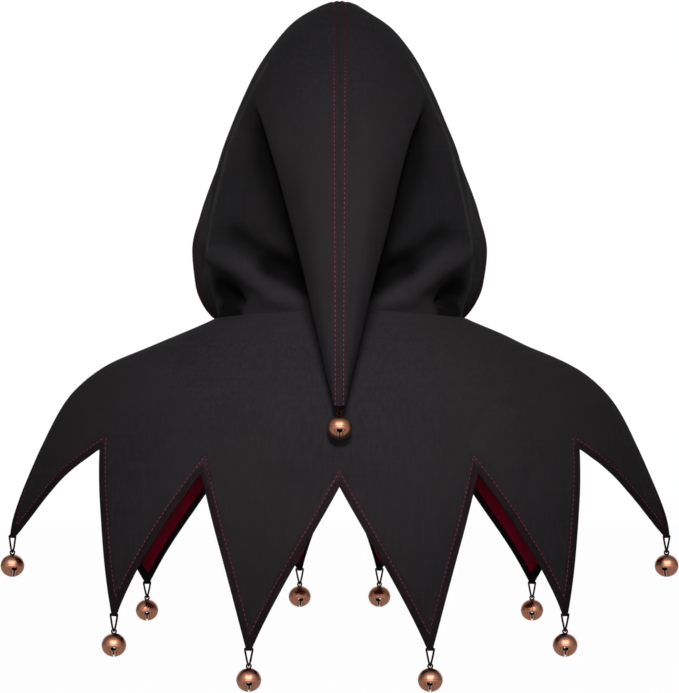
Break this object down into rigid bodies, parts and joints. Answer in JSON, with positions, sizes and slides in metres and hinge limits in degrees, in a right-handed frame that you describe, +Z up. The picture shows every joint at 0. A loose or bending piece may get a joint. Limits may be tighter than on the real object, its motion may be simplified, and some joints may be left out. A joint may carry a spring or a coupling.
{
  "type": "jester hood",
  "caption": "Black cloth jester hood with a long hanging tail and a shoulder cape cut into points, lined in crimson, with a copper jingle bell on each tip.",
  "frame": {"origin": "middle of the neck seam, where the hood sits round the wearer's neck", "axes": "+Z is up and the wearer faces -Y; +X is the wearer's left"},
  "size_m": [0.6298, 0.3156, 0.6281],
  "materials": {
    "black_cloth": "matt black woven cloth with dark red topstitching",
    "crimson_lining": "smooth crimson lining cloth with a soft sheen",
    "bell_copper": "bright copper plate, darker in the slot and at the eye",
    "link_wire": "dark copper wire",
    "pellet_steel": "dull steel"
  },
  "bodies": {
    "root": {"hood_left": "black_cloth", "hood_right": "black_cloth", "cape_back": "black_cloth", "cape_front": "black_cloth", "hood_lining_left": "crimson_lining", "hood_lining_right": "crimson_lining", "cape_lining_back": "crimson_lining", "cape_lining_front": "crimson_lining", "bell_back_inner_left": "bell_copper", "bell_back_inner_right": "bell_copper", "bell_back_outer_left": "bell_copper", "bell_back_outer_right": "bell_copper", "bell_side_left": "bell_copper", "bell_side_right": "bell_copper", "bell_front_inner_left": "bell_copper", "bell_front_inner_right": "bell_copper", "bell_front_outer_left": "bell_copper", "bell_front_outer_right": "bell_copper", "bell_tail": "bell_copper", "pellet_back_inner_left": "pellet_steel", "pellet_back_inner_right": "pellet_steel", "pellet_back_outer_left": "pellet_steel", "pellet_back_outer_right": "pellet_steel", "pellet_side_left": "pellet_steel", "pellet_side_right": "pellet_steel", "pellet_front_inner_left": "pellet_steel", "pellet_front_inner_right": "pellet_steel", "pellet_front_outer_left": "pellet_steel", "pellet_front_outer_right": "pellet_steel", "pellet_tail": "pellet_steel", "link_back_inner_left": "link_wire", "link_back_inner_right": "link_wire", "link_back_outer_left": "link_wire", "link_back_outer_right": "link_wire", "link_side_left": "link_wire", "link_side_right": "link_wire", "link_front_inner_left": "link_wire", "link_front_inner_right": "link_wire", "link_front_outer_left": "link_wire", "link_front_outer_right": "link_wire", "link_tail": "link_wire"}
  },
  "joints": []
}
